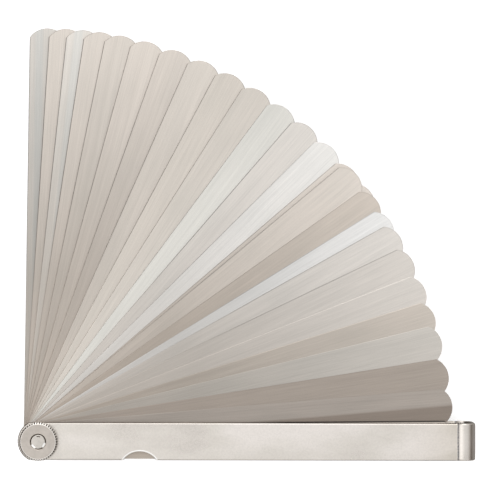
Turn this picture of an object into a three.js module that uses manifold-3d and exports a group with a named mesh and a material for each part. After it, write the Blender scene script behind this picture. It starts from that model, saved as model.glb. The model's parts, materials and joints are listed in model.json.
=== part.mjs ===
// A feeler gauge: graded steel leaves that turn on one pivot screw, in a holder bent from a single steel strip.
//
// Millimetres. The origin is on the pivot axis, in the plane of the screw head's outer face, which the gauge lies on.
// +X runs along the holder to its bend, +Y is the side that the leaves fan out to, and +Z points at the lock nut.

import * as THREE from "three";
import { mergeVertices } from "three/addons/utils/BufferGeometryUtils.js";
import Module from "manifold-3d";

const wasm = await Module();
wasm.setup();

// ---- Driving dimensions ----

// Leaves
const LEAF_LENGTH = 150; // pivot axis to tip
const LEAF_WIDTH = 12.7;
const LEAF_TIP_RADIUS = 7.6;
const LEAF_HOLE_RADIUS = 2.6;
const LEAF_GAP = 0.02; // between neighbours, and between the stack and each cheek

// The set: 1.00 to 0.20 mm in steps of 0.05, then 0.15 to 0.05 mm in steps of 0.01, thickest at the back.
const COARSE_LEAVES = { thickest: 1.0, step: 0.05, count: 17 };
const FINE_LEAVES = { thickest: 0.15, step: 0.01, count: 11 };

// The fan, in degrees. The thickest leaf is swung out of the holder by FAN_TOP, and each next leaf is a step closer
// to the holder. Most of the steps are even. The thinnest leaves are in the holder.
const FAN_TOP = 89.25;
const EVEN_STEP = 4.25;
const FAN_STEPS = [
  2.75, 2.5, 2.5, 3, 3.75, // the thickest leaves lie closest together
  ...Array(8).fill(EVEN_STEP),
  3.75, -3, 4.5, // the 0.30 mm leaf has slipped past the 0.25 mm one
  3.5, 2.5, 3.75, EVEN_STEP, 4, 3.5, 4.75, EVEN_STEP,
];
const STOWED = [0.25, 0, 0.5];

// Holder strip
const STRIP_THICKNESS = 1.2;
const STRIP_WIDTH = 13.5;
const STRIP_EDGE = 0.35; // size of the broken edges along both sides of the strip
const CHEEK_END_RADIUS = 7.6; // rounded end of each cheek, about the pivot
const CHEEK_HOLE_RADIUS = 2.6;

// The bend at the far end stands proud of both cheeks, so its outside is a shallow bulge.
const HOLDER_REACH = 157.9; // pivot axis to the end wall
const BEND_CORNER_RADIUS = 4.2; // outside radius of the two corners
const CREASE_RADIUS = 0.6; // outside radius of the crease between a cheek and the bulge

// Thumb notch in the edge away from the fan
const NOTCH_X = 36.5;
const NOTCH_Y = -10.9;
const NOTCH_RADIUS = 7.2;

// Pivot screw
const HEAD_RADIUS = 5.5;
const HEAD_THICKNESS = 0.82;
const HEAD_EDGE = 0.2;
const NECK_SIDE = 5.0; // the square neck sits in the square hole of the rear cheek
const NECK_CLEARANCE = 0.05;
const SHANK_RADIUS = 2.5;
const SHANK_END_EDGE = 0.42;
const END_RECESS = 0.25; // how far the screw's end lies below the nut's face

// Lock nut
const NUT_RADIUS = 7.1; // over the knurl
const NUT_FACE_RADIUS = 6.25;
const NUT_HEIGHT = 3.0;
const NUT_EDGE = 0.75; // height of the rounded edge below each face
const KNURL_TEETH = 46;
const KNURL_DEPTH = 0.28;
const NUT_BORE_RADIUS = 2.6;
const SINK_RADIUS = 2.92; // mouth of the countersink around the screw's end
const SINK_DEPTH = 0.5;

const FACE_GAP = 0.03; // between faces that bear on each other
const OVERCUT = 1; // how far a cutting body reaches past what it cuts

// ---- The set of leaves, and the levels from the back of the gauge to the front ----

const graded = ({ thickest, step, count }) => Array.from({ length: count }, (_, i) => thickest - i * step);
const SIZES = [...graded(COARSE_LEAVES), ...graded(FINE_LEAVES)];
const STACK_HEIGHT = SIZES.reduce((sum, size) => sum + size + LEAF_GAP, LEAF_GAP);

const REAR_OUTSIDE = HEAD_THICKNESS + FACE_GAP;
const REAR_INSIDE = REAR_OUTSIDE + STRIP_THICKNESS;
const FRONT_INSIDE = REAR_INSIDE + STACK_HEIGHT;
const FRONT_OUTSIDE = FRONT_INSIDE + STRIP_THICKNESS;
const NUT_BOTTOM = FRONT_OUTSIDE + FACE_GAP;
const NUT_TOP = NUT_BOTTOM + NUT_HEIGHT;
const SCREW_TOP = NUT_TOP - END_RECESS;

const HOLDER_MIDDLE = (REAR_OUTSIDE + FRONT_OUTSIDE) / 2;
const CHEEK_HEIGHT = FRONT_OUTSIDE - HOLDER_MIDDLE; // from the middle of the holder to a cheek's outside face
const BULGE = REAR_OUTSIDE; // the bulge stands as proud of the rear cheek as the screw head does

// ---- Looks ----

const metal = (color, roughness) => new THREE.MeshStandardMaterial({ color, roughness, metalness: 1 });
const leafSteel = () => metal(0xd4cfc8, 0.35);
const nickelPlate = () => metal(0xd0cac2, 0.3);
const screwSteel = () => metal(0xc4beb6, 0.35);

// ---- Solids ----

function toSolid(geometry) {
  const bare = geometry.index ? geometry.toNonIndexed() : geometry.clone();
  bare.deleteAttribute("normal");
  bare.deleteAttribute("uv");
  const merged = mergeVertices(bare, 1e-4);
  const mesh = new wasm.Mesh({
    numProp: 3,
    vertProperties: merged.attributes.position.array,
    triVerts: new Uint32Array(merged.index.array),
  });
  return new wasm.Manifold(mesh);
}

function toMesh(name, solid, material) {
  const { vertProperties, triVerts } = solid.getMesh();
  const geometry = new THREE.BufferGeometry();
  geometry.setAttribute("position", new THREE.BufferAttribute(vertProperties, 3));
  geometry.setIndex(new THREE.BufferAttribute(triVerts, 1));
  geometry.computeVertexNormals();
  const mesh = new THREE.Mesh(geometry, material);
  mesh.name = name;
  return mesh;
}

// A body turned about the pivot axis, from [radius, height] pairs that run upwards from axis to axis.
function turned(profile, segments) {
  const points = profile.map(([radius, height]) => new THREE.Vector2(radius, height));
  const geometry = new THREE.LatheGeometry(points, segments);
  geometry.rotateX(Math.PI / 2); // the lathe turns about Y
  return toSolid(geometry);
}

function cylinder(radius, bottom, top, segments) {
  return turned([[0, bottom], [radius, bottom], [radius, top], [0, top]], segments);
}

// A plate of the given outline, with each arc in twice arcSteps segments.
function plate(shape, bottom, top, arcSteps = 8) {
  const geometry = new THREE.ExtrudeGeometry(shape, {
    depth: top - bottom,
    bevelEnabled: false,
    curveSegments: arcSteps,
  });
  geometry.translate(0, 0, bottom);
  return toSolid(geometry);
}

function squareShape(side) {
  const half = side / 2;
  const corners = [[-half, -half], [half, -half], [half, half], [-half, half]];
  return new THREE.Shape(corners.map(([x, y]) => new THREE.Vector2(x, y)));
}

// ---- Leaves ----

function leafShape() {
  const half = LEAF_WIDTH / 2;
  const tipCentre = LEAF_LENGTH - LEAF_TIP_RADIUS;
  const tipAngle = Math.asin(half / LEAF_TIP_RADIUS);
  const shape = new THREE.Shape();
  shape.absarc(0, 0, half, Math.PI / 2, (3 * Math.PI) / 2, false);
  shape.absarc(tipCentre, 0, LEAF_TIP_RADIUS, -tipAngle, tipAngle, false);
  shape.closePath();
  const hole = new THREE.Path();
  hole.absarc(0, 0, LEAF_HOLE_RADIUS, 0, 2 * Math.PI, true);
  shape.holes.push(hole);
  return shape;
}

// Leaf names give the size in millimetres, with the point written as an underscore: leaf_0_05 is 0.05 mm thick.
const leafName = (size) => `leaf_${size.toFixed(2).replace(".", "_")}`;

// How far each leaf is swung out of the holder, from the thickest to the thinnest.
function swings() {
  const fan = [FAN_TOP];
  for (const step of FAN_STEPS) fan.push(fan.at(-1) - step);
  return [...fan, ...STOWED];
}

function leaves() {
  const group = new THREE.Group();
  const swing = swings();
  const shape = leafShape();
  let level = REAR_INSIDE + LEAF_GAP;
  SIZES.forEach((size, i) => {
    const leaf = toMesh(leafName(size), plate(shape, 0, size), leafSteel());
    leaf.position.z = level;
    leaf.rotation.z = THREE.MathUtils.degToRad(swing[i]);
    group.add(leaf);
    level += size + LEAF_GAP;
  });
  return group;
}

// ---- Holder ----

// The front half of the strip seen from the side, as [x, height above the middle] pairs: along the cheek, over the
// crease and the bulge, and round the corner to the end wall. Depth is measured in from the strip's outside face.
function sideLine(depth) {
  const cornerX = HOLDER_REACH - BEND_CORNER_RADIUS;
  const cornerHeight = CHEEK_HEIGHT + BULGE - BEND_CORNER_RADIUS;
  const centreDistance = CREASE_RADIUS + BEND_CORNER_RADIUS;
  const slope = Math.acos(1 - BULGE / centreDistance);
  const creaseX = cornerX - centreDistance * Math.sin(slope);
  const creaseHeight = CHEEK_HEIGHT + CREASE_RADIUS;
  const line = [[-CHEEK_END_RADIUS - OVERCUT, CHEEK_HEIGHT - depth]];

  const creaseSteps = 4;
  const creaseRadius = CREASE_RADIUS + depth;
  for (let i = 0; i <= creaseSteps; i++) {
    const angle = (slope * i) / creaseSteps;
    line.push([creaseX + creaseRadius * Math.sin(angle), creaseHeight - creaseRadius * Math.cos(angle)]);
  }

  const cornerRadius = BEND_CORNER_RADIUS - depth;
  const roundCorner = (from, to, count) => {
    for (let i = 1; i <= count; i++) {
      const angle = from + ((to - from) * i) / count;
      line.push([cornerX + cornerRadius * Math.sin(angle), cornerHeight + cornerRadius * Math.cos(angle)]);
    }
  };
  roundCorner(-slope, 0, 3); // up to the crest
  roundCorner(0, Math.PI / 2, 9); // and down to the end wall
  return line;
}

// The strip at its full width, bent double, before its ends, notch and holes are cut.
function bentStrip() {
  const outside = sideLine(0);
  const inside = sideLine(STRIP_THICKNESS);
  const lowered = (line) => line.map(([x, height]) => [x, -height]);
  const outline = [
    ...outside,
    ...lowered(outside).reverse(),
    ...lowered(inside),
    ...inside.slice().reverse(),
  ];
  const shape = new THREE.Shape(outline.map(([x, height]) => new THREE.Vector2(x, height)));
  const flatWidth = STRIP_WIDTH - 2 * STRIP_EDGE;
  const geometry = new THREE.ExtrudeGeometry(shape, {
    depth: flatWidth,
    bevelEnabled: true,
    bevelThickness: STRIP_EDGE,
    bevelSize: STRIP_EDGE,
    bevelOffset: -STRIP_EDGE,
    bevelSegments: 2,
  });
  geometry.translate(0, 0, -flatWidth / 2);
  geometry.rotateX(Math.PI / 2); // heights turn up to Z, and the width lies along Y
  geometry.translate(0, 0, HOLDER_MIDDLE);
  return toSolid(geometry);
}

// Outline that rounds both cheek ends about the pivot and clears the rest of the strip.
function endShape() {
  const shape = new THREE.Shape();
  shape.absarc(0, 0, CHEEK_END_RADIUS, Math.PI / 2, (3 * Math.PI) / 2, false);
  shape.lineTo(HOLDER_REACH + OVERCUT, -CHEEK_END_RADIUS);
  shape.lineTo(HOLDER_REACH + OVERCUT, CHEEK_END_RADIUS);
  shape.closePath();
  return shape;
}

function holder() {
  const below = -OVERCUT;
  const above = FRONT_OUTSIDE + BULGE + OVERCUT;
  const ends = plate(endShape(), below, above, 20);
  const notch = cylinder(NOTCH_RADIUS, below, above, 72).translate([NOTCH_X, NOTCH_Y, 0]);
  const roundHole = cylinder(CHEEK_HOLE_RADIUS, HOLDER_MIDDLE, above, 32);
  const squareHole = plate(squareShape(NECK_SIDE + 2 * NECK_CLEARANCE), below, HOLDER_MIDDLE);
  const solid = bentStrip().intersect(ends).subtract(notch).subtract(roundHole).subtract(squareHole);
  return toMesh("holder", solid, nickelPlate());
}

// ---- Pivot screw ----

function pivotScrew() {
  const body = turned(
    [
      [0, 0],
      [HEAD_RADIUS - HEAD_EDGE, 0],
      [HEAD_RADIUS, HEAD_EDGE],
      [HEAD_RADIUS, HEAD_THICKNESS],
      [SHANK_RADIUS, HEAD_THICKNESS],
      [SHANK_RADIUS, SCREW_TOP - SHANK_END_EDGE],
      [SHANK_RADIUS - SHANK_END_EDGE, SCREW_TOP],
      [0, SCREW_TOP],
    ],
    48,
  );
  const neck = plate(squareShape(NECK_SIDE), HEAD_THICKNESS / 2, REAR_INSIDE);
  return toMesh("pivot_screw", body.add(neck), screwSteel());
}

// ---- Lock nut ----

function knurlShape() {
  const points = [];
  for (let i = 0; i < 2 * KNURL_TEETH; i++) {
    const angle = (Math.PI * i) / KNURL_TEETH;
    const radius = i % 2 ? NUT_RADIUS - KNURL_DEPTH : NUT_RADIUS;
    points.push(new THREE.Vector2(radius * Math.cos(angle), radius * Math.sin(angle)));
  }
  return new THREE.Shape(points);
}

// The nut's outline in section, with rounded edges that run from each face out to the knurl.
function nutEnvelope() {
  const edgeSteps = 4;
  const overhang = NUT_RADIUS + 0.02 - NUT_FACE_RADIUS; // just outside the teeth, so that only the edges are cut
  const edge = Array.from({ length: edgeSteps + 1 }, (_, i) => {
    const angle = (Math.PI / 2) * (i / edgeSteps);
    return [NUT_FACE_RADIUS + overhang * Math.sin(angle), NUT_EDGE * (1 - Math.cos(angle))];
  });
  const lower = edge.map(([radius, drop]) => [radius, NUT_BOTTOM + drop]);
  const upper = edge.map(([radius, drop]) => [radius, NUT_TOP - drop]).reverse();
  return turned([[0, NUT_BOTTOM], ...lower, ...upper, [0, NUT_TOP]], 2 * KNURL_TEETH);
}

function lockNut() {
  const bore = cylinder(NUT_BORE_RADIUS, NUT_BOTTOM - OVERCUT, NUT_TOP + OVERCUT, 32);
  const widening = (SINK_RADIUS - NUT_BORE_RADIUS) / SINK_DEPTH;
  const sink = turned(
    [
      [0, NUT_TOP - SINK_DEPTH],
      [NUT_BORE_RADIUS, NUT_TOP - SINK_DEPTH],
      [SINK_RADIUS + widening * OVERCUT, NUT_TOP + OVERCUT],
      [0, NUT_TOP + OVERCUT],
    ],
    32,
  );
  const blank = plate(knurlShape(), NUT_BOTTOM, NUT_TOP).intersect(nutEnvelope());
  return toMesh("lock_nut", blank.subtract(bore).subtract(sink), nickelPlate());
}

// ---- The gauge ----

const feelerGauge = new THREE.Group();
feelerGauge.name = "feeler_gauge";
feelerGauge.add(holder(), pivotScrew(), lockNut(), leaves());

export default feelerGauge;
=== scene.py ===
import json
import math

import bmesh
import bpy
from mathutils import Matrix, Vector


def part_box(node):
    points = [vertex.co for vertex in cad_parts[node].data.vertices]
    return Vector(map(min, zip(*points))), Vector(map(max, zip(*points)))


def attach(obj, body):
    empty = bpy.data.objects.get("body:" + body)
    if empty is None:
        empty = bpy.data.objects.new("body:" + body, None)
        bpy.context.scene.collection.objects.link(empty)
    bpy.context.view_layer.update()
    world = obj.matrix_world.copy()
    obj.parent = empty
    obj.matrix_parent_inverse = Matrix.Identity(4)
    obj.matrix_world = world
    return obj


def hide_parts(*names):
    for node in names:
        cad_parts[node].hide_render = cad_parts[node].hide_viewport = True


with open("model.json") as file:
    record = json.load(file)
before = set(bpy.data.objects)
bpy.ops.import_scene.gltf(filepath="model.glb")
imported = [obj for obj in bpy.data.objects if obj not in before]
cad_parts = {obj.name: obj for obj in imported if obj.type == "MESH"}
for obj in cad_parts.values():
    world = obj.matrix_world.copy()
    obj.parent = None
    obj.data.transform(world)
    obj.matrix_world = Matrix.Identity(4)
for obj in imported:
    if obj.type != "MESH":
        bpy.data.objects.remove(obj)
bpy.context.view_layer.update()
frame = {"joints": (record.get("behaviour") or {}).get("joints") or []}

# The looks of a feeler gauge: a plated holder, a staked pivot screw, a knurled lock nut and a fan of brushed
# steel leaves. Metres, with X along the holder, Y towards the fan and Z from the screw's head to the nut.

MM = 0.001

# ---- Sizes that the frame gives ----

HOLDER_LOW, HOLDER_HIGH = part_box("holder")
_, SCREW_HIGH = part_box("pivot_screw")
NUT_LOW, NUT_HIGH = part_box("lock_nut")
HALF_WIDTH = HOLDER_HIGH.y
CHEEK_END_RADIUS = -HOLDER_LOW.x
REACH = HOLDER_HIGH.x
MIDDLE_Z = (HOLDER_LOW.z + HOLDER_HIGH.z) / 2
NUT_RADIUS = NUT_HIGH.x
HEAD_RADIUS = SCREW_HIGH.x

# ---- Sizes that this script shares with the CAD model ----

STRIP_THICKNESS = 1.2 * MM
BULGE = 0.85 * MM  # how proud of a cheek the bend stands
CORNER_RADIUS = 4.2 * MM
CREASE_RADIUS = 0.6 * MM
SQUARE_HOLE_SIDE = 5.1 * MM
HOLE_RADIUS = 2.6 * MM  # in the front cheek, the leaves and the nut
NOTCH_CENTRE = (36.5 * MM, -10.9 * MM)
NOTCH_RADIUS = 7.2 * MM
HEAD_THICKNESS = 0.82 * MM
HEAD_EDGE = 0.2 * MM
SHANK_RADIUS = 2.5 * MM
NUT_FACE_RADIUS = 6.25 * MM
NUT_EDGE = 0.75 * MM
SINK_RADIUS = 2.92 * MM
SINK_DEPTH = 0.5 * MM
KNURL_TEETH = 46
LEAF_LENGTH = 150 * MM
LEAF_WIDTH = 12.7 * MM
LEAF_TIP_RADIUS = 7.6 * MM

# ---- Finer detail than the CAD model has ----

STRIP_EDGE_RADIUS = 0.58 * MM
KNURL_DEPTH = 0.4 * MM
SINK_RIM_WIDTH = 0.06 * MM  # the broken corner at the countersink's mouth
SINK_RIM_DEPTH = 0.05 * MM
LEAF_EDGE = 0.2 * MM


# ---- Mesh helpers ----

SHARP_ANGLE = math.radians(40)
HOLE_STEPS = 48


def new_piece(name, mesh_builder, material, body, node):
    """Builds a mesh object, gives it its material and rides it on its body in place of the CAD node."""
    bm = bmesh.new()
    mesh_builder(bm)
    bmesh.ops.recalc_face_normals(bm, faces=bm.faces)
    for face in bm.faces:
        face.smooth = True
    for edge in bm.edges:
        if edge.is_manifold and edge.calc_face_angle() > SHARP_ANGLE:
            edge.smooth = False
    mesh = bpy.data.meshes.new(name)
    bm.to_mesh(mesh)
    bm.free()
    mesh.materials.append(material)
    piece = bpy.data.objects.new(name, mesh)
    bpy.context.scene.collection.objects.link(piece)
    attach(piece, body)
    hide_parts(node)


def add_loop(bm, points):
    return [bm.verts.new(point) for point in points]


def skin(bm, loops):
    """Quads between each closed loop of vertices and the next."""
    for lower, upper in zip(loops, loops[1:]):
        count = len(lower)
        for i in range(count):
            j = (i + 1) % count
            bm.faces.new((lower[i], lower[j], upper[j], upper[i]))


def loop_edges(bm, loop):
    """The edges round a closed loop of vertices, made where there are none yet."""
    return [bm.edges.get(pair) or bm.edges.new(pair) for pair in zip(loop, loop[1:] + loop[:1])]


def crease(bm, loop):
    """Ends the smooth shading at a loop, so that the flat face inside it shades flat."""
    for edge in loop_edges(bm, loop):
        edge.smooth = False


def fill_between(bm, outline, holes):
    """Fills the flat region inside a closed loop of vertices, leaving its holes open."""
    edges = [edge for loop in (outline, *holes) for edge in loop_edges(bm, loop)]
    bmesh.ops.triangle_fill(bm, edges=edges, use_beauty=True)


def arc_points(centre, radius, start, end, count):
    """Points along an arc, from one angle to the other, both ends included."""
    points = []
    for i in range(count + 1):
        angle = start + (end - start) * i / count
        points.append((centre[0] + radius * math.cos(angle), centre[1] + radius * math.sin(angle)))
    return points


def circle_points(radius):
    return arc_points((0, 0), radius, 0, 2 * math.pi, HOLE_STEPS)[:-1]


def square_points(side):
    half = side / 2
    return [(-half, -half), (half, -half), (half, half), (-half, half)]


def edge_profile(thickness, radius, steps):
    """(inset, height) pairs round a strip's edge, from its outer face to its inner face."""
    top = [math.pi / 2 * (1 - i / steps) for i in range(steps + 1)]
    rounded = [(radius * (1 - math.cos(a)), thickness / 2 - radius + radius * math.sin(a)) for a in top]
    return rounded + [(inset, -height) for inset, height in reversed(rounded)]


# ---- Holder: one strip, worked out flat and then bent ----

# Heights are above the holder's middle. Radii are those of the strip's middle layer, which keeps its length.
CHEEK = HOLDER_HIGH.z - BULGE - MIDDLE_Z - STRIP_THICKNESS / 2
CORNER_MID = CORNER_RADIUS - STRIP_THICKNESS / 2
CREASE_MID = CREASE_RADIUS + STRIP_THICKNESS / 2
CORNER_X = REACH - CORNER_RADIUS
CORNER_HEIGHT = CHEEK + BULGE - CORNER_MID
SLOPE = math.acos(1 - BULGE / (CORNER_MID + CREASE_MID))
CREASE_X = CORNER_X - (CORNER_MID + CREASE_MID) * math.sin(SLOPE)
CREASE_HEIGHT = CHEEK + CREASE_MID
WALL_LENGTH = CORNER_HEIGHT
CORNER_LENGTH = CORNER_MID * (math.pi / 2 + SLOPE)
CREASE_LENGTH = CREASE_MID * SLOPE
CHEEK_START = WALL_LENGTH + CORNER_LENGTH + CREASE_LENGTH
FLAT_REACH = CHEEK_START + CREASE_X  # from the middle of the end wall to the pivot axis, along the strip

STRIP_EDGE_STEPS = 6
CHEEK_END_STEPS = 40
NOTCH_STEPS = 32
CREASE_STEPS = 10
CORNER_STEPS = 28


def bend(along, across, out):
    """A point of the flat strip, carried to the bent one. along starts at the middle of the end wall and is
    positive towards the front cheek. out is the height above the strip's middle layer, on its outer side."""
    distance = abs(along)
    if distance <= WALL_LENGTH:
        x, height, nx, nz = REACH - STRIP_THICKNESS / 2, distance, 1.0, 0.0
    elif distance <= WALL_LENGTH + CORNER_LENGTH:
        angle = math.pi / 2 - (distance - WALL_LENGTH) / CORNER_MID
        nx, nz = math.sin(angle), math.cos(angle)
        x, height = CORNER_X + CORNER_MID * nx, CORNER_HEIGHT + CORNER_MID * nz
    elif distance <= CHEEK_START:
        angle = -SLOPE + (distance - WALL_LENGTH - CORNER_LENGTH) / CREASE_MID
        nx, nz = math.sin(angle), math.cos(angle)
        x, height = CREASE_X - CREASE_MID * nx, CREASE_HEIGHT - CREASE_MID * nz
    else:
        x, height, nx, nz = CREASE_X - (distance - CHEEK_START), CHEEK, 0.0, 1.0
    side = 1 if along >= 0 else -1
    return Vector((x + nx * out, across, MIDDLE_Z + side * (height + nz * out)))


def cheek_outline(inset):
    """One cheek's edge as (x, y) pairs: from the bend along the fan side, round the pivot and back past the
    notch."""
    half = HALF_WIDTH - inset
    radius = CHEEK_END_RADIUS - inset
    corner = math.asin(half / radius)
    points = [(CREASE_X, half), (CREASE_X / 2, half)]
    points += arc_points((0, 0), radius, math.pi - corner, math.pi + corner, CHEEK_END_STEPS)
    notch_radius = NOTCH_RADIUS + inset
    shoulder = math.asin((-half - NOTCH_CENTRE[1]) / notch_radius)
    points += arc_points(NOTCH_CENTRE, notch_radius, math.pi - shoulder, shoulder, NOTCH_STEPS)
    points += [(CREASE_X / 2, -half), (CREASE_X, -half)]
    return points


def bend_steps():
    """Where the strip is divided between its two cheeks, from the front crease to the rear one."""
    creased = [CHEEK_START - CREASE_LENGTH * i / CREASE_STEPS for i in range(1, CREASE_STEPS)]
    corner_start = WALL_LENGTH + CORNER_LENGTH
    corner = [corner_start - CORNER_LENGTH * i / CORNER_STEPS for i in range(CORNER_STEPS + 1)]
    front = creased + corner
    return front + [-along for along in reversed(front)]


def on_front(points, out):
    """(x, y) points of the front cheek, at a height above the strip's middle layer."""
    return [bend(FLAT_REACH - x, y, out) for x, y in points]


def on_rear(points, out):
    """The same for the rear cheek."""
    return [bend(x - FLAT_REACH, y, out) for x, y in points]


def build_holder(bm):
    """Loops round the strip's edge, from its outside to its inside. Both sides are filled around the holes."""
    steps = bend_steps()
    loops = []
    for inset, out in edge_profile(STRIP_THICKNESS, STRIP_EDGE_RADIUS, STRIP_EDGE_STEPS):
        cheek = cheek_outline(inset)
        front = on_front(cheek, out)
        rear = on_rear(reversed(cheek), out)
        half = HALF_WIDTH - inset
        lower = [bend(along, -half, out) for along in steps]
        upper = [bend(along, half, out) for along in reversed(steps)]
        loops.append(add_loop(bm, front + lower + rear + upper))
    skin(bm, loops)
    crease(bm, loops[0])
    crease(bm, loops[-1])

    count = len(cheek_outline(0))
    for loop, out in ((loops[0], STRIP_THICKNESS / 2), (loops[-1], -STRIP_THICKNESS / 2)):
        front = loop[:count]
        lower = loop[count:count + len(steps)]
        rear = loop[count + len(steps):2 * count + len(steps)]
        upper = loop[2 * count + len(steps):]
        rungs = [(front[0], front[-1]), *zip(reversed(upper), lower), (rear[-1], rear[0])]
        for (a, b), (c, d) in zip(rungs, rungs[1:]):
            bm.faces.new((a, b, d, c))
        front_hole = add_loop(bm, on_front(circle_points(HOLE_RADIUS), out))
        rear_hole = add_loop(bm, on_rear(square_points(SQUARE_HOLE_SIDE), out))
        fill_between(bm, front, [front_hole])
        fill_between(bm, rear, [rear_hole])
        if out > 0:
            outer_holes = (front_hole, rear_hole)
        else:
            skin(bm, [outer_holes[0], front_hole])
            skin(bm, [outer_holes[1], rear_hole])


# ---- Leaves ----

SHEET_MAP = "sheet"  # the UV map that holds a leaf's flat blank, in metres
SHEET_PITCH = 40 * MM  # from one leaf to the next in the sheet that they are cut from
LEAF_ROOT_STEPS = 40
LEAF_TIP_STEPS = 48
LEAF_EDGE_STEPS = 3
THIN_LEAF_EDGE = 0.4  # the edge radius of a leaf too thin for LEAF_EDGE, as part of its thickness


def leaf_outline(inset):
    half = LEAF_WIDTH / 2 - inset
    tip_radius = LEAF_TIP_RADIUS - inset
    tip_centre = LEAF_LENGTH - LEAF_TIP_RADIUS
    tip = math.asin(half / tip_radius)
    points = arc_points((0, 0), half, math.pi / 2, 3 * math.pi / 2, LEAF_ROOT_STEPS)
    points += arc_points((tip_centre, 0), tip_radius, -tip, tip, LEAF_TIP_STEPS)
    return points


def leaf_builder(low, high, swing, place_in_sheet):
    """A leaf, swung to its angle, with a UV map as if all the leaves were cut from one sheet."""
    thickness = high - low
    edge = min(LEAF_EDGE, thickness * THIN_LEAF_EDGE)

    def build(bm):
        middle = (low + high) / 2
        loops = []
        for inset, height in edge_profile(thickness, edge, LEAF_EDGE_STEPS):
            loops.append(add_loop(bm, [(x, y, middle + height) for x, y in leaf_outline(inset)]))
        skin(bm, loops)
        upper, lower = (add_loop(bm, [(x, y, z) for x, y in circle_points(HOLE_RADIUS)]) for z in (high, low))
        skin(bm, [upper, lower])
        for outline, hole_loop in ((loops[0], upper), (loops[-1], lower)):
            fill_between(bm, outline, [hole_loop])
            crease(bm, outline)
        sheet = bm.loops.layers.uv.new(SHEET_MAP)
        for face in bm.faces:
            for corner in face.loops:
                x, y, _ = corner.vert.co
                corner[sheet].uv = (x, y + place_in_sheet)
        bmesh.ops.rotate(bm, verts=bm.verts, matrix=Matrix.Rotation(swing, 3, "Z"))

    return build


# ---- Lock nut ----

COLUMNS_PER_TOOTH = 8
VALLEY_REACH = 1.25  # more than 1 gives each valley a flat bottom
RIDGE_ROUNDING = 1.3  # more than 1 rounds the ridges
# The chamfer round each face, its corners just broken, as (part of the overhang, part of NUT_EDGE) pairs
CHAMFER = [(0, 0), (0.12, 0.05), (0.25, 0.14), (0.85, 0.66), (0.95, 0.78), (1, 0.92)]


def knurl_radius(angle):
    phase = (angle * KNURL_TEETH / (2 * math.pi)) % 1.0
    from_ridge = abs(2 * phase - 1)
    return NUT_RADIUS - KNURL_DEPTH * min(1.0, VALLEY_REACH * from_ridge) ** RIDGE_ROUNDING


def build_nut(bm):
    """Rings from the bore's lower end out across the lower face, up the knurl and in to the countersink."""
    columns = COLUMNS_PER_TOOTH * KNURL_TEETH
    overhang = NUT_RADIUS - NUT_FACE_RADIUS
    low, high = NUT_LOW.z, NUT_HIGH.z
    edge = [(NUT_FACE_RADIUS + overhang * out, NUT_EDGE * down) for out, down in CHAMFER]
    rings = [(HOLE_RADIUS, low)] + [(radius, low + drop) for radius, drop in edge]
    rings += [(radius, high - drop) for radius, drop in reversed(edge)]
    rings += [(SINK_RADIUS + SINK_RIM_WIDTH, high), (SINK_RADIUS, high - SINK_RIM_DEPTH)]
    rings += [(HOLE_RADIUS, high - SINK_DEPTH)]
    loops = []
    for radius, z in rings:
        points = []
        for i in range(columns):
            angle = 2 * math.pi * i / columns
            r = min(radius, knurl_radius(angle))
            points.append((r * math.cos(angle), r * math.sin(angle), z))
        loops.append(add_loop(bm, points))
    skin(bm, loops + [loops[0]])
    lower_face_rim = 1
    upper_face_rim = 2 * len(edge)
    for ring in (lower_face_rim, upper_face_rim, upper_face_rim + 1):
        crease(bm, loops[ring])


# ---- Pivot screw ----

STAKES = (math.radians(225), math.radians(-30))  # where the end's rim is driven into the countersink
STAKE_HALF_WIDTH = math.radians(24)
PUNCH_MARK = math.radians(86)
PUNCH_HALF_WIDTH = math.radians(20)
PUNCH_DEPTH = 0.3 * MM
END_EDGE = 0.08 * MM
SCREW_END_RADIUS = SHANK_RADIUS - END_EDGE
SCREW_COLUMNS = 120


def spread_at(angle, centre, half_width):
    """1 at the centre of a mark round the screw's end, falling to 0 at its sides."""
    away = abs((angle - centre + math.pi) % (2 * math.pi) - math.pi)
    return math.cos(math.pi / 2 * away / half_width) ** 0.5 if away < half_width else 0.0


def screw_rings():
    """The screw's rings, from the middle of its head to the middle of its end: radius, height, how far out a
    stake carries the ring, how far down a stake carries it, and how far down the punch does."""
    top = SCREW_HIGH.z
    end = SCREW_END_RADIUS
    round_edge = [
        (HEAD_RADIUS - HEAD_EDGE * (1 - math.sin(angle)), HEAD_EDGE * (1 - math.cos(angle)), 0, 0, 0)
        for angle in (math.radians(30), math.radians(60), math.radians(90))
    ]
    head = [
        (HEAD_RADIUS * 0.04, 0, 0, 0, 0),
        (HEAD_RADIUS * 0.5, 0, 0, 0, 0),
        (HEAD_RADIUS - HEAD_EDGE, 0, 0, 0, 0),
        *round_edge,
        (HEAD_RADIUS, HEAD_THICKNESS, 0, 0, 0),
    ]
    shank = [
        (SHANK_RADIUS, HEAD_THICKNESS, 0, 0, 0),
        (SHANK_RADIUS, top - 1.2 * MM, 0, 0, 0),
        (SHANK_RADIUS, top - 0.5 * MM, 0, 0, 0),
    ]
    staked_rim = [
        (SHANK_RADIUS, top - END_EDGE, 0.38 * MM, 0, 0),
        (end + 0.03 * MM, top - 0.03 * MM, 0.42 * MM, 0.16 * MM, 0),
        (end - 0.1 * MM, top, 0.3 * MM, 0.1 * MM, 0),
        (end - 0.35 * MM, top, 0, 0.06 * MM, 0),
    ]
    end_face = [
        (end - 0.4 * MM, top, 0, 0, PUNCH_DEPTH),
        (end - 0.62 * MM, top, 0, 0, PUNCH_DEPTH),
        (end - 0.7 * MM, top, 0, 0, 0),
        (end * 0.3, top, 0, 0, 0),
        (end * 0.05, top, 0, 0, 0),
    ]
    return head + shank + staked_rim + end_face


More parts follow.
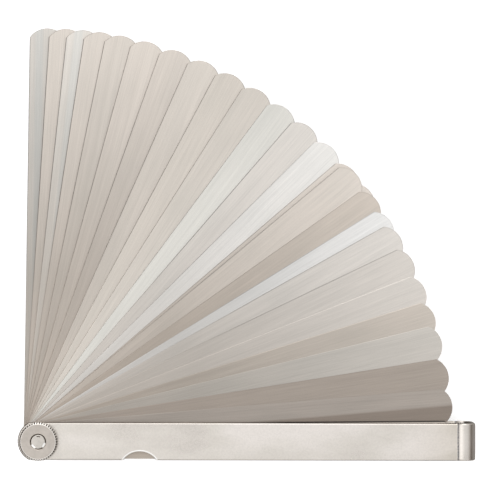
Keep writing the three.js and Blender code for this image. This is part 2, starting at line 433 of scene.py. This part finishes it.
def build_screw(bm):
    loops = []
    for radius, z, carried, pushed, punched in screw_rings():
        points = []
        for i in range(SCREW_COLUMNS):
            angle = 2 * math.pi * i / SCREW_COLUMNS
            staked = max(spread_at(angle, centre, STAKE_HALF_WIDTH) for centre in STAKES)
            marked = spread_at(angle, PUNCH_MARK, PUNCH_HALF_WIDTH)
            r = radius + carried * staked
            points.append((r * math.cos(angle), r * math.sin(angle), z - pushed * staked - punched * marked))
        loops.append(add_loop(bm, points))
    skin(bm, loops)
    bm.faces.new(loops[0])
    bm.faces.new(loops[-1])


# ---- Materials ----

# A Mix node has a factor, an A, a B and a result for each kind of data, and these are the colour ones
MIX_FACTOR, MIX_A, MIX_B = 0, 6, 7
MIX_RESULT = 2


class Shader:
    """A material whose nodes are added one at a time and linked by the sockets that they feed."""

    def __init__(self, name):
        self.material = bpy.data.materials.new(name)
        self.material.use_nodes = True
        self.tree = self.material.node_tree
        self.surface = self.tree.nodes["Principled BSDF"]

    @classmethod
    def of_tree(cls, tree):
        """The same helpers for a node tree that isn't a material's."""
        made = cls.__new__(cls)
        made.tree = tree
        return made

    def add(self, kind, settings=(), **inputs):
        made = self.tree.nodes.new("ShaderNode" + kind)
        for key, value in dict(settings).items():
            setattr(made, key, value)
        for key, value in inputs.items():
            self.feed(made, key.replace("_", " "), value)
        return made

    def feed(self, target, socket, value):
        if isinstance(value, bpy.types.NodeSocket):
            self.tree.links.new(value, target.inputs[socket])
        else:
            target.inputs[socket].default_value = value

    def place(self):
        return self.add("TexCoord").outputs["Object"]

    def noise(self, vector, scale, detail, roughness, stretch=(1, 1, 1)):
        """Noise over the object, drawn out along the axes whose stretch is less than 1."""
        placed = self.add("Mapping", Vector=vector, Scale=stretch)
        return self.add(
            "TexNoise", Vector=placed.outputs[0], Scale=scale, Detail=detail, Roughness=roughness
        ).outputs["Fac"]

    def ramp(self, value, stops):
        """Colours or greys at positions along the value."""
        made = self.add("ValToRGB", Fac=value)
        elements = made.color_ramp.elements
        while len(elements) < len(stops):
            elements.new(0.5)
        for element, (position, colour) in zip(elements, stops):
            element.position = position
            grey = isinstance(colour, (int, float))
            element.color = (colour, colour, colour, 1) if grey else (*colour, 1)
        return made.outputs["Color"]

    def mix(self, blend, factor, a, b):
        made = self.add("Mix", {"data_type": "RGBA", "blend_type": blend})
        for socket, value in ((MIX_FACTOR, factor), (MIX_A, a), (MIX_B, b)):
            self.feed(made, socket, value)
        return made.outputs[MIX_RESULT]

    def range(self, value, low, high, start=0.0, end=1.0):
        """From low, where the value is start, to high, where it is end."""
        return self.add(
            "MapRange", Value=value, From_Min=start, From_Max=end, To_Min=low, To_Max=high
        ).outputs[0]

    def axis(self, vector, name):
        return self.add("SeparateXYZ", Vector=vector).outputs[name]

    def math(self, operation, *values):
        made = self.add("Math", {"operation": operation})
        for socket, value in enumerate(values):
            self.feed(made, socket, value)
        return made.outputs[0]

    def length(self, x, y):
        """How far a point of the XY plane is from its origin."""
        made = self.add("VectorMath", {"operation": "LENGTH"})
        self.feed(made, 0, self.add("CombineXYZ", X=x, Y=y).outputs[0])
        return made.outputs["Value"]

    def bump(self, height, distance):
        made = self.add("Bump", Height=height, Distance=distance, Strength=1.0)
        self.feed(self.surface, "Normal", made.outputs[0])

    def metal(self, **constants):
        self.feed(self.surface, "Metallic", 1.0)
        for key, value in constants.items():
            self.feed(self.surface, key.replace("_", " "), value)


def scaled(colour, factor):
    return tuple(min(1.0, channel * factor) for channel in colour)


def opaque(colour):
    """A colour as a mix takes it."""
    return (*colour, 1.0)


LEAF_STEEL = (0.77, 0.71, 0.65)
# Painted shade towards the pivot, where the holder's cheeks and the leaves above shade a leaf,
# along a leaf from the pivot at 0 to its tip at 1
PAINTED_ROOT_SHADE = [
    (0.0, (0.70, 0.67, 0.645)),
    (0.4, (0.69, 0.675, 0.66)),
    (0.7, (0.82, 0.815, 0.81)),
    (1.0, 1.0),
]
PLAIN_SHADING = {
    "tint": (1.0, 1.0, 1.0),
    "root_shade": 1.0,  # how much of the painted root shade it shows
    "rim": 0.62,  # the painted shade along its edge, a painted highlight where above 1, 1 for none
    "rim_width": 0.3 * MM,
    "stripe": None,  # a tinted band along it, as (from, to, tint), with both distances measured across the leaf
}
# How the leaves that aren't plain differ. Their tints are painted light and shade: lighter and darker
# copies of one steel for how each leaf's slight tilt catches the light
LEAF_SHADING = {
    "leaf_1_00": {"tint": (0.92, 0.95, 0.97), "stripe": (1.0 * MM, 4.6 * MM, (0.92, 0.95, 0.97))},
    "leaf_0_95": {"rim": 0.4},
    "leaf_0_90": {"tint": (1.04, 1.07, 1.09), "rim": 0.4, "stripe": (0.0 * MM, 4.0 * MM, (0.95, 0.98, 1.0))},
    "leaf_0_85": {"rim": 0.4},
    "leaf_0_80": {"tint": (0.96, 0.965, 0.965), "rim": 0.5},
    "leaf_0_70": {"tint": (0.95, 0.95, 0.95)},
    "leaf_0_65": {"tint": (0.96, 0.965, 0.965), "root_shade": 0.55},
    "leaf_0_60": {"tint": (0.91, 0.915, 0.91), "root_shade": 0.05},
    "leaf_0_55": {"tint": (0.9, 0.91, 0.91), "root_shade": 0.0, "rim": 0.75},
    "leaf_0_50": {"tint": (0.98, 1.04, 1.07), "root_shade": 0.0, "rim": 0.8},
    "leaf_0_45": {"tint": (1.02, 1.05, 1.08), "root_shade": 0.6, "rim": 0.5},
    "leaf_0_40": {"tint": (1.15, 1.22, 1.29), "root_shade": 0.75, "rim": 0.7},
    "leaf_0_20": {"tint": (0.85, 0.83, 0.81), "rim": 0.75},
    "leaf_0_15": {"tint": (1.1, 1.18, 1.27), "rim": 0.7},
    "leaf_0_14": {"tint": (0.98, 1.01, 1.04)},
    "leaf_0_13": {"tint": (0.92, 0.94, 0.96)},
    "leaf_0_12": {"tint": (0.91, 0.93, 0.95), "rim": 1.25},
    "leaf_0_11": {"tint": (0.77, 0.76, 0.745), "rim": 1.25},
    "leaf_0_10": {"tint": (0.78, 0.80, 0.81), "rim": 1.2},
    "leaf_0_09": {"tint": (0.53, 0.505, 0.485), "root_shade": 0.4, "rim": 0.9},
    "leaf_0_08": {
        "tint": (0.53, 0.515, 0.505),
        "root_shade": 0.3,
        "rim": 0.95,
        # its band is painted shade along its lower side, under the holder's cheek
        "stripe": (-6.3 * MM, 0.6 * MM, (0.70, 0.66, 0.63)),
    },
    # the stowed leaf's dark rim is the painted shadow line along the holder's top edge
    "leaf_0_05": {"tint": (0.9, 0.88, 0.86), "rim": 0.1, "rim_width": 0.55 * MM},
}
STRIPE_BLUR = 0.9 * MM
RIM_BLUR = 0.15 * MM
TIP_RIM = 0.3  # how much of the painted edge shade and highlight shows round the tip
ROOT_EDGE_HIGHLIGHT = 1.15  # the painted highlight on the edge near the pivot
EDGE_HIGHLIGHT_END, EDGE_SHADE_START = 0.3, 0.6  # where along the leaf the painted highlight starts to fade and the painted shade is full
GRINDING_STRETCH = (0.02, 1.0, 1.0)
STREAK_STRETCH = (0.03, 1.0, 1.0)
CLOUD_STRETCH = (0.5, 1.0, 1.0)


def painted_edge_mask(shader, along, across, width):
    """1 at a leaf's fan-side edge, where shade and highlights are painted, less round its tip and 0 inside."""
    past_tip_centre = shader.math("SUBTRACT", along, LEAF_LENGTH - LEAF_TIP_RADIUS)
    from_tip_centre = shader.length(shader.math("MAXIMUM", past_tip_centre, 0.0), across)
    inner_half = LEAF_WIDTH / 2 - width
    inner_tip = LEAF_TIP_RADIUS - width
    by_side = shader.range(across, 0.0, 1.0, inner_half, inner_half + RIM_BLUR)
    by_tip = shader.range(from_tip_centre, 0.0, TIP_RIM, inner_tip, inner_tip + RIM_BLUR)
    return shader.math("MAXIMUM", by_side, by_tip)


def leaf_steel(name, shading, place_in_sheet):
    """Strip steel ground along the leaf, with painted shade towards the pivot, and painted shade and
    highlights along its edge.
    """
    shader = Shader(name)
    sheet = shader.add("UVMap", {"uv_map": SHEET_MAP}).outputs["UV"]
    along = shader.axis(sheet, "X")
    across = shader.math("SUBTRACT", shader.axis(sheet, "Y"), place_in_sheet)
    # the tint is painted light and shade for the leaf's tilt
    base = tuple(channel * shade for channel, shade in zip(LEAF_STEEL, shading["tint"]))
    grinding = shader.noise(sheet, 2400.0, 3.0, 0.65, GRINDING_STRETCH)
    streaks = shader.noise(sheet, 520.0, 3.0, 0.6, STREAK_STRETCH)
    clouds = shader.noise(sheet, 75.0, 3.0, 0.5, CLOUD_STRETCH)
    grain = shader.noise(sheet, 3400.0, 2.0, 0.6)
    from_pivot = shader.range(along, 0.0, 1.0, 0.0, LEAF_LENGTH)
    # painted shade towards the pivot
    root_shade = shader.ramp(from_pivot, PAINTED_ROOT_SHADE)
    cloudy = shader.ramp(clouds, [(0.36, (0.93, 0.94, 0.94)), (0.6, 1.0)])
    ground = shader.ramp(grinding, [(0.3, 0.84), (0.7, 1.03)])
    grained = shader.ramp(grain, [(0.3, 0.86), (0.7, 1.03)])
    colour = shader.ramp(streaks, [(0.3, scaled(base, 0.95)), (0.7, scaled(base, 1.04))])
    for strength, layer in ((shading["root_shade"], root_shade), (0.6, cloudy), (0.8, ground), (0.6, grained)):
        colour = shader.mix("MULTIPLY", strength, colour, layer)
    if shading["stripe"]:
        low, high, band_tint = shading["stripe"]
        rises = shader.range(across, 0.0, 1.0, low, low + STRIPE_BLUR)
        falls = shader.range(across, 1.0, 0.0, high - STRIPE_BLUR, high)
        colour = shader.mix("MULTIPLY", shader.math("MULTIPLY", rises, falls), colour, opaque(band_tint))
    # painted shadow line along the leaf's edge, and a painted highlight there near the pivot
    rim = painted_edge_mask(shader, along, across, shading["rim_width"])
    painted_edge_tone = shader.range(from_pivot, ROOT_EDGE_HIGHLIGHT, shading["rim"], EDGE_HIGHLIGHT_END, EDGE_SHADE_START)
    colour = shader.mix("MULTIPLY", rim, colour, painted_edge_tone)
    shader.feed(shader.surface, "Base Color", colour)
    shader.feed(shader.surface, "Roughness", shader.range(grinding, 0.42, 0.52, 0.3, 0.7))
    shader.bump(grinding, 0.006 * MM)
    shader.metal(Anisotropic=0.6, Anisotropic_Rotation=0.25)
    tangent = shader.add("Tangent", {"direction_type": "UV_MAP", "uv_map": SHEET_MAP})
    shader.feed(shader.surface, "Tangent", tangent.outputs[0])
    return shader.material


NICKEL = (0.69, 0.65, 0.60)
HANDLED_NICKEL = (0.62, 0.575, 0.535)
BRIGHT_NICKEL = (0.765, 0.72, 0.68)
# painted shade on the strip's edges along the cheeks, for the shadow line beside the leaves
STRIP_EDGE_SHADE = (0.13, 0.105, 0.09)
# painted highlight on the thumb notch's rounded edge
NOTCH_HIGHLIGHT = (0.97, 0.96, 0.94)
NOTCH_HIGHLIGHT_REACH = 0.7 * MM
BEND_END_REACH = 18 * MM  # how far from the bend the plating is darker and yellower
BEND_END_TINT = (0.9, 0.885, 0.85)
# painted shade in the crease between a cheek and the bend
CREASE_SHADE = (0.2, 0.205, 0.22)
CREASE_SHADE_MIDDLE = CREASE_X + 0.5 * MM
CREASE_SHADE_HALF_WIDTH = 0.5 * MM
EDGE_SLOPE = (0.68, 0.84)  # the upright part of the normal, from fully in the painted edge shade to out of it


def bend_end_mask(shader, x):
    """1 at the crease, fading along the cheeks and ending at the bend."""
    toward_bend = shader.range(x, 0.0, 1.0, CREASE_X - BEND_END_REACH, CREASE_X)
    before_crease = shader.range(x, 1.0, 0.0, CREASE_X, CREASE_X + CREASE_RADIUS)
    return shader.math("MULTIPLY", toward_bend, before_crease)


def crease_shade_mask(shader, x, pores):
    """A broken line of painted shade in the crease between a cheek and the bend."""
    from_crease = shader.math("ABSOLUTE", shader.math("SUBTRACT", x, CREASE_SHADE_MIDDLE))
    creased = shader.range(from_crease, 1.0, 0.0, CREASE_SHADE_HALF_WIDTH / 3, CREASE_SHADE_HALF_WIDTH)
    return shader.math("MULTIPLY", creased, shader.ramp(pores, [(0.3, 1.0), (0.7, 0.35)]))


def strip_edge_shade_mask(shader, x):
    """1 on the strip's edge along both cheeks, where dark shade is painted."""
    upright = shader.math("ABSOLUTE", shader.axis(shader.add("TexCoord").outputs["Normal"], "Z"))
    on_edge = shader.range(upright, 1.0, 0.0, *EDGE_SLOPE)
    on_cheeks = shader.range(x, 1.0, 0.0, CREASE_X - CREASE_RADIUS, CREASE_X)
    return shader.math("MULTIPLY", on_edge, on_cheeks)


def notch_highlight_mask(shader, x, y):
    """1 in a ring round the thumb notch, where a highlight is painted."""
    notch_x, notch_y = NOTCH_CENTRE
    from_notch = shader.length(shader.math("SUBTRACT", x, notch_x), shader.math("SUBTRACT", y, notch_y))
    return shader.range(from_notch, 1.0, 0.0, NOTCH_RADIUS + NOTCH_HIGHLIGHT_REACH * 0.8, NOTCH_RADIUS + NOTCH_HIGHLIGHT_REACH)


def nickel_plate():
    """Satin nickel over rolled strip: a fine grain and cloudy patches where it has been handled, darker and
    yellower towards the bend, with painted shade on the edges along the cheeks and in the creases, and a
    painted highlight round the thumb notch."""
    shader = Shader("nickel_plate")
    place = shader.place()
    x, y = shader.axis(place, "X"), shader.axis(place, "Y")
    grain = shader.noise(place, 4200.0, 2.0, 0.6)
    pores = shader.noise(place, 1500.0, 3.0, 0.6)
    clouds = shader.noise(place, 42.0, 3.0, 0.55, (0.55, 1.3, 1.0))
    colour = shader.ramp(clouds, [(0.34, HANDLED_NICKEL), (0.5, NICKEL), (0.66, BRIGHT_NICKEL)])
    colour = shader.mix("MULTIPLY", 0.4, colour, shader.ramp(pores, [(0.35, 0.84), (0.6, 1.0)]))
    colour = shader.mix("MULTIPLY", 0.4, colour, shader.ramp(grain, [(0.3, 0.86), (0.7, 1.0)]))
    colour = shader.mix("MULTIPLY", bend_end_mask(shader, x), colour, opaque(BEND_END_TINT))
    # painted shade in the crease
    colour = shader.mix("MIX", crease_shade_mask(shader, x, pores), colour, opaque(CREASE_SHADE))
    # painted shade on the strip's edges
    colour = shader.mix("MIX", strip_edge_shade_mask(shader, x), colour, opaque(STRIP_EDGE_SHADE))
    # painted highlight round the thumb notch
    colour = shader.mix("MIX", notch_highlight_mask(shader, x, y), colour, opaque(NOTCH_HIGHLIGHT))
    shader.feed(shader.surface, "Base Color", colour)
    shader.feed(shader.surface, "Roughness", shader.range(clouds, 0.24, 0.34, 0.35, 0.65))
    shader.bump(shader.mix("ADD", 0.5, grain, pores), 0.003 * MM)
    shader.metal()
    return shader.material


def turned_metal(name, base, roughness):
    """Metal faced on a lathe, with fine rings about the pivot axis. Gives the shader, the place on the
    object, the colour and the distance from the axis."""
    shader = Shader(name)
    place = shader.place()
    radius = shader.length(shader.axis(place, "X"), shader.axis(place, "Y"))
    rings = shader.noise(shader.add("CombineXYZ", X=radius).outputs[0], 9000.0, 3.0, 0.7)
    smears = shader.noise(place, 420.0, 3.0, 0.6)
    colour = shader.ramp(smears, [(0.3, scaled(base, 0.88)), (0.7, scaled(base, 1.06))])
    colour = shader.mix("MULTIPLY", 0.35, colour, shader.ramp(rings, [(0.35, 0.85), (0.65, 1.0)]))
    shader.feed(shader.surface, "Base Color", colour)
    smeared_roughness = shader.range(smears, roughness - 0.05, roughness + 0.06, 0.3, 0.7)
    shader.feed(shader.surface, "Roughness", smeared_roughness)
    shader.bump(rings, 0.004 * MM)
    shader.metal()
    return shader, place, colour, radius


TURNED_STEEL = (0.60, 0.565, 0.52)
STAKED_STEEL = (0.95, 0.94, 0.92)
# painted shade in the punch mark
PUNCH_SHADE = (0.12, 0.10, 0.085)
PUNCH_RADIUS = SCREW_END_RADIUS - 0.51 * MM


def sector(shader, place, angle, half_width):
    """1 in a sector about the pivot axis, fading to 0 at its sides."""
    turned = shader.add("VectorRotate", {"rotation_type": "Z_AXIS"}, Vector=place, Angle=-angle)
    x, y = (shader.axis(turned.outputs[0], name) for name in "XY")
    away = shader.math("ABSOLUTE", shader.math("ARCTAN2", y, x))
    return shader.range(away, 1.0, 0.0, half_width * 0.7, half_width)


def screw_steel():
    """The screw's end, with bare metal where it is staked and painted shade in the punch mark."""
    shader, place, colour, radius = turned_metal("screw_steel", TURNED_STEEL, 0.3)
    rim = shader.range(radius, 0.0, 1.0, SCREW_END_RADIUS - 0.45 * MM, SCREW_END_RADIUS - 0.3 * MM)
    for centre in STAKES:
        staked = shader.math("MULTIPLY", rim, sector(shader, place, centre, STAKE_HALF_WIDTH))
        colour = shader.mix("MIX", staked, colour, opaque(STAKED_STEEL))
    from_mark = shader.math("ABSOLUTE", shader.math("SUBTRACT", radius, PUNCH_RADIUS))
    in_mark = shader.range(from_mark, 1.0, 0.0, 0.11 * MM, 0.17 * MM)
    # painted shade in the punch mark's dent
    punched = shader.math("MULTIPLY", in_mark, sector(shader, place, PUNCH_MARK, PUNCH_HALF_WIDTH))
    colour = shader.mix("MIX", punched, colour, opaque(PUNCH_SHADE))
    shader.feed(shader.surface, "Base Color", colour)
    return shader.material


TURNED_NICKEL = (0.52, 0.475, 0.43)
# Painted shade in the knurl's valleys, painted highlights at the face's rim and on the knurl's ridges
KNURL_VALLEY_SHADE = (0.06, 0.05, 0.04)
FACE_RIM_HIGHLIGHT = (0.80, 0.77, 0.73)
KNURL_RIDGE_HIGHLIGHT = (0.85, 0.82, 0.78)
RIM_HALF_WIDTH = 0.11 * MM


def nut_nickel():
    """The turned nut, with a painted highlight where its face meets the knurl, painted shade in the
    knurl's valleys and painted highlights on its ridges.
    """
    shader, place, colour, radius = turned_metal("nut_nickel", TURNED_NICKEL, 0.34)
    angle = shader.math("ARCTAN2", shader.axis(place, "Y"), shader.axis(place, "X"))
    wave = shader.math("COSINE", shader.math("MULTIPLY", angle, float(KNURL_TEETH)))
    valleys = shader.range(wave, 0.0, 1.0, -0.5, 0.3)
    rim_end = NUT_FACE_RADIUS + RIM_HALF_WIDTH
    knurled = shader.range(radius, 0.0, 1.0, rim_end, rim_end + RIM_HALF_WIDTH)
    from_rim = shader.math("ABSOLUTE", shader.math("SUBTRACT", radius, NUT_FACE_RADIUS))
    # painted highlight where the face meets the knurl
    face_rim_highlight = shader.range(from_rim, 1.0, 0.0, RIM_HALF_WIDTH / 2, RIM_HALF_WIDTH)
    colour = shader.mix("MIX", face_rim_highlight, colour, opaque(FACE_RIM_HIGHLIGHT))
    # painted shade in the knurl's valleys and painted highlights on its ridges
    knurl = shader.mix("MIX", valleys, opaque(KNURL_RIDGE_HIGHLIGHT), opaque(KNURL_VALLEY_SHADE))
    colour = shader.mix("MIX", knurled, colour, knurl)
    shader.feed(shader.surface, "Base Color", colour)
    return shader.material


# ---- The pieces ----

LEAF_PREFIX = "leaf_"


def leaf_swings():
    """How far each leaf is swung out of the holder at rest, in degrees. It can swing back as far."""
    leaf_joints = [joint for joint in frame["joints"] if joint["child"].startswith(LEAF_PREFIX)]
    return {joint["child"]: -joint["range_deg"][0] for joint in leaf_joints}


def make_leaves():
    swings = leaf_swings()
    for number, node in enumerate(sorted(swings, reverse=True)):
        low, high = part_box(node)
        name = "blade_" + node[len(LEAF_PREFIX):]
        shading = {**PLAIN_SHADING, **LEAF_SHADING.get(node, {})}
        place_in_sheet = SHEET_PITCH * number
        material = leaf_steel(name + "_steel", shading, place_in_sheet)
        build = leaf_builder(low.z, high.z, math.radians(swings[node]), place_in_sheet)
        new_piece(name, build, material, node, node)


def make_object():
    new_piece("holder_strip", build_holder, nickel_plate(), "holder", "holder")
    new_piece("staked_screw", build_screw, screw_steel(), "holder", "pivot_screw")
    new_piece("knurled_nut", build_nut, nut_nickel(), "lock_nut", "lock_nut")
    make_leaves()


# ---- Floor, light and camera ----

VIEW_HEIGHT = 1.0  # from the nut's face straight up to the camera
VIEW_WIDTH = 177.4 * MM  # what the frame spans at the nut's face
VIEW_CENTRE = (74.9 * MM, 70.45 * MM)
VIEW_ROLL = math.radians(0.12)
SENSOR = 36.0
FLOOR_HALF_WIDTH = 3.0
FLOOR_DROP = 0.05 * MM  # below the screw's head, so that the two faces don't coincide
MIRRORED_FLOOR = (0.34, 0.33, 0.32)


def make_camera():
    data = bpy.data.cameras.new("camera")
    data.sensor_width = SENSOR
    data.lens = SENSOR * VIEW_HEIGHT / VIEW_WIDTH
    data.clip_start = 0.01
    data.clip_end = 20.0
    camera = bpy.data.objects.new("camera", data)
    camera.location = (*VIEW_CENTRE, NUT_HIGH.z + VIEW_HEIGHT)
    camera.rotation_euler = (0, 0, VIEW_ROLL)
    bpy.context.scene.collection.objects.link(camera)
    bpy.context.scene.camera = camera


def make_floor():
    """A white table that glows to the camera like a lit backdrop. The metal above it mirrors a greyer one."""
    shader = Shader("white_table")
    mottle = shader.noise(shader.place(), 12.0, 2.0, 0.5)
    seen = shader.add("LightPath").outputs["Is Camera Ray"]
    paper = shader.ramp(mottle, [(0.3, 0.86), (0.7, 0.9)])
    shader.feed(shader.surface, "Base Color", shader.mix("MIX", seen, opaque(MIRRORED_FLOOR), paper))
    shader.feed(shader.surface, "Roughness", 0.9)
    shader.feed(shader.surface, "Emission Color", (1, 1, 1, 1))
    shader.feed(shader.surface, "Emission Strength", shader.range(seen, 0.0, 0.55))
    mesh = bpy.data.meshes.new("floor")
    bm = bmesh.new()
    bmesh.ops.create_grid(bm, x_segments=1, y_segments=1, size=FLOOR_HALF_WIDTH)
    bm.to_mesh(mesh)
    bm.free()
    mesh.materials.append(shader.material)
    floor = bpy.data.objects.new("floor", mesh)
    floor.location.z = -FLOOR_DROP
    bpy.context.scene.collection.objects.link(floor)


def softbox(name, target, direction, distance, size, power):
    """A square area light that faces the target from a direction."""
    data = bpy.data.lights.new(name, "AREA")
    data.shape = "SQUARE"
    data.size = size
    data.energy = power
    light = bpy.data.objects.new(name, data)
    direction = Vector(direction).normalized()
    light.location = target + direction * distance
    light.rotation_euler = direction.to_track_quat("Z", "Y").to_euler()
    bpy.context.scene.collection.objects.link(light)


# (height of a direction, from 0 at the horizon to 1 overhead, and the studio's light there)
STUDIO_DOME = [
    (0.0, (0.145, 0.12, 0.1)),
    (0.3, (0.19, 0.16, 0.14)),
    (0.55, (0.57, 0.55, 0.53)),
    (0.8, 0.92),
    (1.0, 0.93),
]
# (towards, the cosine of how far it spreads, brightness at its middle)
PANELS = [
    ((0.0, 0.9, 0.25), 0.8, 2.7),  # low, behind the fan
    ((0.7, 0.7, 0.15), 0.94, 1.2),  # low, behind the fan on the right
    ((0.6, -0.6, 0.55), 0.93, 0.5),  # in front, on the right
    ((-0.5, 0.0, 0.85), 0.86, 0.75),  # on the left
    ((-0.1, -0.97, 0.2), 0.7, 0.9),  # low, in front
]


def make_light():
    """A studio dome, bright overhead and dark at its foot, with soft panels, and a softbox for shadows."""
    world = bpy.data.worlds.new("studio")
    world.use_nodes = True
    shader = Shader.of_tree(world.node_tree)
    direction = shader.add("TexCoord").outputs["Generated"]
    height = shader.axis(direction, "Z")
    light = shader.ramp(height, STUDIO_DOME)
    for towards, edge, strength in PANELS:
        facing = shader.add("VectorMath", {"operation": "DOT_PRODUCT"})
        shader.feed(facing, 0, direction)
        shader.feed(facing, 1, Vector(towards).normalized())
        panel = shader.range(facing.outputs["Value"], 0.0, strength, edge, 1.0)
        light = shader.mix("ADD", 1.0, light, panel)
    background = world.node_tree.nodes["Background"]
    shader.feed(background, "Color", light)
    shader.feed(background, "Strength", 1.0)
    bpy.context.scene.world = world
    target = Vector((*VIEW_CENTRE, 0))
    softbox("key", target, (0.05, 0.35, 0.9), distance=1.6, size=0.9, power=1.3)
    bpy.context.scene.view_settings.view_transform = "Standard"


make_camera()
make_light()
make_floor()
make_object()
